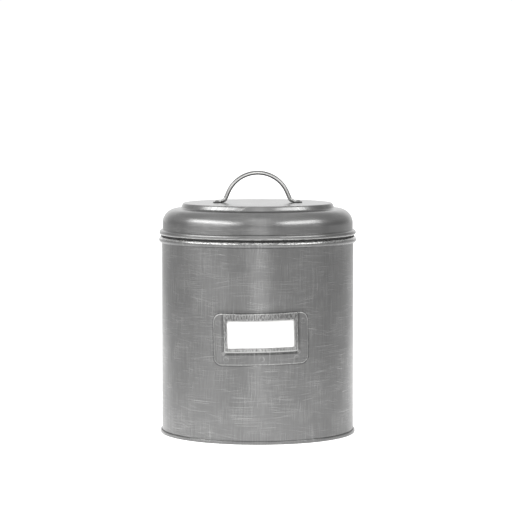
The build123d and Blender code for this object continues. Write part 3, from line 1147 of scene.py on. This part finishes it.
class BIN_OT_handle(Operator):
    """Adds the handle: a bow of round wire whose legs bend outwards into flattened feet"""

    bl_idname = "bin.handle"
    bl_label = "Handle"

    def execute(self, context):
        sizes = context.scene.bin_handle
        wire = sizes.wire / 2
        low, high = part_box("handle")
        bow_middle = high.z - wire - sizes.bow
        lean = TURN / 4 - sizes.flare
        deselect()
        bpy.ops.mesh.primitive_circle_add(
            vertices=WIRE_FACETS, radius=wire, fill_type="NOTHING",
            location=(0, 0, high.z - wire), rotation=(0, TURN / 4, 0),
        )
        piece = bpy.context.object
        piece.name = piece.data.name = "bin_handle"
        settle()
        mode("EDIT")
        select_mesh()
        bpy.ops.mesh.spin(steps=BOW_STEPS, angle=-lean, center=(0, 0, bow_middle), axis=(0, 1, 0))
        # The leg runs on straight, then bends outwards until the wire lies level on the lid.
        leg_top = Vector((math.cos(sizes.flare), 0, math.sin(sizes.flare))) * sizes.bow
        leg_top.z += bow_middle
        level = low.z + wire
        heel = leg_top.x + (leg_top.z - level) * math.tan(sizes.flare)
        down = Vector((math.sin(sizes.flare), 0, -math.cos(sizes.flare)))
        leg = (Vector((heel, 0, level)) - leg_top).length - sizes.bend * math.tan(lean / 2)
        bpy.ops.mesh.extrude_region_move(TRANSFORM_OT_translate={"value": down * leg})
        bend_middle = leg_top + down * leg + Vector((-down.z, 0, down.x)) * sizes.bend
        bpy.ops.mesh.spin(steps=BEND_STEPS, angle=lean, center=bend_middle, axis=(0, 1, 0))
        # The wire is flattened over a short run into a foot that ends round about its rivet.
        here = Vector((bend_middle.x, 0, level))
        wide, thick = wire, wire
        for place, new_wide, new_thick in foot_stations(sizes, here.x):
            middle = Vector((place, 0, low.z + new_thick))
            bpy.ops.mesh.extrude_region_move(TRANSFORM_OT_translate={"value": middle - here})
            growth = (1, new_wide / wide, new_thick / thick)
            bpy.ops.transform.resize(value=growth, center_override=middle)
            here, wide, thick = middle, new_wide, new_thick
        bpy.ops.mesh.edge_face_add()
        mode("OBJECT")
        modify(piece, "MIRROR", use_axis=(True, False, False), use_clip=True, merge_threshold=SAME_PLACE)
        mode("EDIT")
        select_mesh()
        bpy.ops.mesh.normals_make_consistent(inside=False)
        mode("OBJECT")
        finish_piece(piece, "lid", bare_steel, "handle_steel", "handle")
        return {"FINISHED"}


class BIN_OT_rivets(Operator):
    """Adds the two rivets: a domed head on each foot, a shank, and a set tail inside the lid"""

    bl_idname = "bin.rivets"
    bl_label = "Rivets"

    def execute(self, context):
        sizes = context.scene.bin_handle
        for side, name in ((-1, "left"), (1, "right")):
            low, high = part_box("handle_rivet_" + name)
            lid_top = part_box("handle")[0].z
            foot = lid_top + sizes.foot
            under = lid_top - context.scene.bin_sizes.sheet
            head = sizes.head / 2
            dome = (head**2 + (high.z - foot) ** 2) / (2 * (high.z - foot))
            spread = math.degrees(math.asin(head / dome))
            section = arc((0, high.z - dome), dome, 90, 90 - spread, 10)
            section += bent_line([
                (head, foot),
                (sizes.shank / 2, foot, SHANK_BEND),
                (sizes.shank / 2, under, SHANK_BEND),
                (TAIL * head, under, TAIL_EDGE),
                (TAIL * head, low.z, TAIL_CORNER),
                (0, low.z),
            ])[1:]
            middle = side * rivet_reach()
            piece = turned("bin_rivet_" + name, section, facets=RIVET_FACETS, middle=middle)
            node = "handle_rivet_" + name
            finish_piece(piece, "lid", bare_steel, "handle_steel", node)
        return {"FINISHED"}


# ---------------------------------------------------------------- stage


# Softboxes: azimuth and elevation in degrees, width and height in metres, power in watts
SOFTBOXES = {
    "left_softbox": (-63, 35, 1.6, 0.44, 13),
    "left_fill": (-63, 12, 1.6, 0.60, 3),
    "right_softbox": (55, 35, 1.2, 0.44, 9),
    "right_fill": (55, 12, 1.2, 0.60, 1),
}
SOFTBOX_DISTANCE = 1.5
AIM_HEIGHT = 0.13  # of the point that the softboxes face
FLOOR_SIZE = 60
SEEN_BACKGROUND = 1.05  # brightness of the world where the camera sees it

# Camera: film and focal length in millimetres, place in metres, angles in degrees
FILM = 36
LENS = 176.7
CAMERA_DISTANCE = 2.489
CAMERA_HEIGHT = 0.359
CAMERA_AZIMUTH = -2.05
CAMERA_PITCH = 4.23
CAMERA_PAN = 0.0376


def spherical(azimuth, elevation):
    """The way out from the bin at this azimuth, from the front, and elevation, both in radians."""
    return Vector((
        math.sin(azimuth) * math.cos(elevation),
        -math.cos(azimuth) * math.cos(elevation),
        math.sin(elevation),
    ))


def add_softbox(name, azimuth, elevation, width, height, power):
    """A rectangular studio light that faces the bin and isn't seen itself."""
    light = bpy.data.lights.new(name, "AREA")
    light.shape = "RECTANGLE"
    light.size, light.size_y = width, height
    light.energy = power
    lamp = bpy.data.objects.new(name, light)
    bpy.context.scene.collection.objects.link(lamp)
    back = spherical(math.radians(azimuth), math.radians(elevation))
    lamp.location = Vector((0, 0, AIM_HEIGHT)) + back * SOFTBOX_DISTANCE
    lamp.rotation_mode = "QUATERNION"
    lamp.rotation_quaternion = (-back).to_track_quat("-Z", "Y")
    lamp.visible_camera = False


def glowing_studio_paper(tree):
    """Pale paper under the bin, which glows a little more where the wall and the lid mirror it: painted
    light in a broad band, a pool at the bin's front left and a stripe straight ahead, with painted shade
    to the front right.
    """
    x, y, z = tree.place()
    sheet = (abs(x) - y.math("MAXIMUM", 0.0) * 0.16).step(0.60, 0.34) * 0.42
    pool = far(x, y).step(0.35, 0.13) * (x + y).step(0.08, -0.15) * 0.30
    stripe = (abs(x) + y * 0.14).step(0.05, -0.05) * y.step(-0.25, -0.8) * 0.8
    dim = x.step(0.22, 0.50) * y.step(0.10, -0.10) * 0.2
    # Painted light and shade: the paper's glow stands in for light pooled on it, and dim darkens it to
    # the front right
    shine = sheet + pool + stripe - dim + 0.1
    tree.surface(
        Base_Color=(0.7, 0.7, 0.7, 1), Roughness=1.0,
        Emission_Color=tree.vector(shine, shine, shine), Emission_Strength=1.0,
    )


def studio_surround(tree):
    """Even light from all round, brighter behind the bin, overhead and in a strip straight ahead."""
    x, y, z = tree.parts(tree.node("ShaderNodeTexCoord", output="Generated"))
    behind = y.step(0.75, 0.98) * 0.75
    above = z.step(0.0, 0.8) * 0.15 + z.step(0.60, 0.95) * 0.25
    ahead = abs(x).step(0.20, 0.08) * y.step(0.0, -0.5) * (z.step(0.1, 0.5) * 0.6 + 0.8)
    sides = abs(x).step(0.5, 0.8) * y.step(-0.4, 0.2) * z.step(0.4, 0.1) * 0.15
    glow = 0.72 + behind - x * 0.10 + above + ahead - sides
    seen = tree.node("ShaderNodeLightPath")
    strength = glow + seen * (SEEN_BACKGROUND - glow)
    lit = tree.node("ShaderNodeBackground", None, {"Color": (1, 1, 1, 1), "Strength": strength})
    tree.node("ShaderNodeOutputWorld", None, {"Surface": lit})


def add_camera(scene):
    """The camera, which looks a little down at the front of the bin."""
    camera = bpy.data.cameras.new("camera")
    camera.sensor_width = FILM
    camera.lens = LENS
    seat = bpy.data.objects.new("camera", camera)
    scene.collection.objects.link(seat)
    azimuth = math.radians(CAMERA_AZIMUTH)
    seat.location = spherical(azimuth, 0) * CAMERA_DISTANCE
    seat.location.z = CAMERA_HEIGHT
    pitch, pan = math.radians(CAMERA_PITCH), math.radians(CAMERA_PAN)
    seat.rotation_euler = (TURN / 4 - pitch, 0, azimuth + pan)
    scene.camera = seat


class BIN_OT_stage(Operator):
    """Adds the pale floor, the soft studio light and the camera"""

    bl_idname = "bin.stage"
    bl_label = "Stage"

    def execute(self, context):
        scene = context.scene
        scene.view_settings.view_transform = "Standard"
        deselect()
        bpy.ops.mesh.primitive_plane_add(size=FLOOR_SIZE)
        floor = context.object
        floor.name = floor.data.name = "studio_floor"
        floor.data.materials.append(finish_of(glowing_studio_paper))
        scene.world = scene.world or bpy.data.worlds.new("studio")
        studio_surround(Tree(scene.world))
        for name, settings in SOFTBOXES.items():
            add_softbox(name, *settings)
        add_camera(scene)
        return {"FINISHED"}


# ---------------------------------------------------------------- panel and registration


class BIN_PT_panel(Panel):
    """Lists the sizes, the colours and the operators"""

    bl_idname = "BIN_PT_panel"
    bl_label = "Food bin"
    bl_space_type = "VIEW_3D"
    bl_region_type = "UI"
    bl_category = "Food bin"

    def draw(self, context):
        for name in GROUPS:
            group = getattr(context.scene, name)
            box = self.layout.box()
            for key in group.bl_rna.properties.keys():
                if key not in ("rna_type", "name"):
                    box.prop(group, key)
        for operator in OPERATORS:
            self.layout.operator(operator.bl_idname)


GROUPS = {
    "bin_sizes": BinSizes,
    "bin_lid": LidSizes,
    "bin_label": LabelSizes,
    "bin_handle": HandleSizes,
    "bin_colours": Colours,
}
OPERATORS = (
    BIN_OT_body_wall,
    BIN_OT_base_plate,
    BIN_OT_lid_shell,
    BIN_OT_lid_ring,
    BIN_OT_lid_seal,
    BIN_OT_label_frame,
    BIN_OT_label_card,
    BIN_OT_handle,
    BIN_OT_rivets,
    BIN_OT_stage,
)


def register():
    for name, group in GROUPS.items():
        bpy.utils.register_class(group)
        setattr(bpy.types.Scene, name, PointerProperty(type=group))
    for operator in OPERATORS:
        bpy.utils.register_class(operator)
    bpy.utils.register_class(BIN_PT_panel)


def unregister():
    bpy.utils.unregister_class(BIN_PT_panel)
    for operator in reversed(OPERATORS):
        bpy.utils.unregister_class(operator)
    for name, group in reversed(GROUPS.items()):
        delattr(bpy.types.Scene, name)
        bpy.utils.unregister_class(group)


def main():
    """Makes every piece and the stage."""
    register()
    for operator in OPERATORS:
        getattr(bpy.ops.bin, operator.bl_idname.split(".")[1])()


if __name__ == "__main__":
    main()
